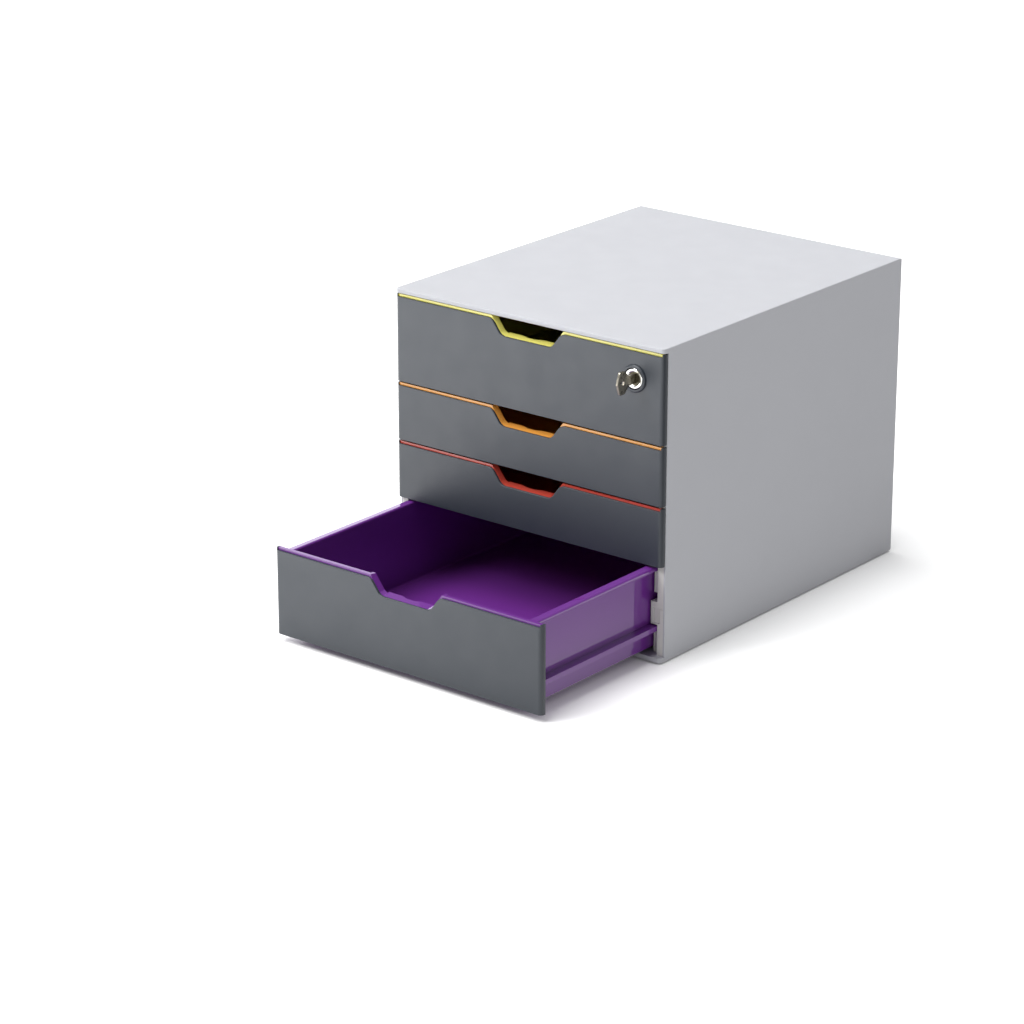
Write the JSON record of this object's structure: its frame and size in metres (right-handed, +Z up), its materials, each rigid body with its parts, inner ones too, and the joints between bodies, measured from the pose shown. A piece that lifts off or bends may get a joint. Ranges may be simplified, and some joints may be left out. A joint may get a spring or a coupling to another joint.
{
  "type": "desktop file drawer",
  "caption": "Desktop drawer box for A4 papers: a pale moulded housing with sliding coloured trays behind grey fronts with finger cutouts, the top one with a cam lock and key.",
  "frame": {"origin": "on the desk, at the centre of the housing's footprint", "axes": "+Z up, the drawer fronts face -Y, +X to the right of someone who faces them; the drawers open towards -Y"},
  "size_m": [0.292, 0.517, 0.28],
  "materials": {
    "housing_light_grey": "finely eroded matte moulding",
    "liner_warm_grey": "satin moulding",
    "front_graphite": "finely eroded matte moulding",
    "tray_yellow_plastic": "smooth half-gloss moulding",
    "tray_orange_plastic": "smooth half-gloss moulding",
    "tray_red_plastic": "smooth half-gloss moulding",
    "tray_purple_plastic": "smooth half-gloss moulding",
    "lock_chrome": "bright chrome plating",
    "key_nickel": "nickel plating, worn along the edges",
    "zinc_steel": "bright zinc plating",
    "foot_rubber": "matte rubber"
  },
  "bodies": {
    "housing": {"housing_shell": "housing_light_grey", "base_plate": "housing_light_grey", "rear_panel": "housing_light_grey", "rear_screws": "zinc_steel", "liner_lower_left": "liner_warm_grey", "liner_lower_right": "liner_warm_grey", "liner_upper_left": "liner_warm_grey", "liner_upper_right": "liner_warm_grey", "foot_front_left": "foot_rubber", "foot_front_right": "foot_rubber", "foot_rear_left": "foot_rubber", "foot_rear_right": "foot_rubber"},
    "drawer_top": {"tray_yellow": "tray_yellow_plastic", "front_top": "front_graphite", "lock_barrel": "lock_chrome", "lock_nut": "zinc_steel"},
    "drawer_upper_middle": {"tray_orange": "tray_orange_plastic", "front_upper_middle": "front_graphite"},
    "drawer_lower_middle": {"tray_red": "tray_red_plastic", "front_lower_middle": "front_graphite"},
    "drawer_bottom": {"tray_purple": "tray_purple_plastic", "front_bottom": "front_graphite"},
    "lock_cylinder": {"lock_plug": "lock_chrome", "lock_cam": "zinc_steel", "cam_screw": "zinc_steel"},
    "key": {"key": "key_nickel"}
  },
  "joints": [
    {"name": "drawer_top_slide", "type": "slide", "parent": "housing", "child": "drawer_top", "axis": [0, -1, 0], "range_m": [0, 0.25]},
    {"name": "drawer_upper_middle_slide", "type": "slide", "parent": "housing", "child": "drawer_upper_middle", "axis": [0, -1, 0], "range_m": [0, 0.25]},
    {"name": "drawer_lower_middle_slide", "type": "slide", "parent": "housing", "child": "drawer_lower_middle", "axis": [0, -1, 0], "range_m": [0, 0.25]},
    {"name": "drawer_bottom_slide", "type": "slide", "parent": "housing", "child": "drawer_bottom", "axis": [0, -1, 0], "range_m": [-0.161, 0.089]},
    {"name": "lock_turn", "type": "hinge", "parent": "drawer_top", "child": "lock_cylinder", "pos_m": [0.1155, -0.178, 0.2495], "axis": [0, -1, 0], "range_deg": [0, 90]},
    {"name": "key_pull", "type": "slide", "parent": "lock_cylinder", "child": "key", "axis": [0, -1, 0], "range_m": [0, 0.02]}
  ]
}
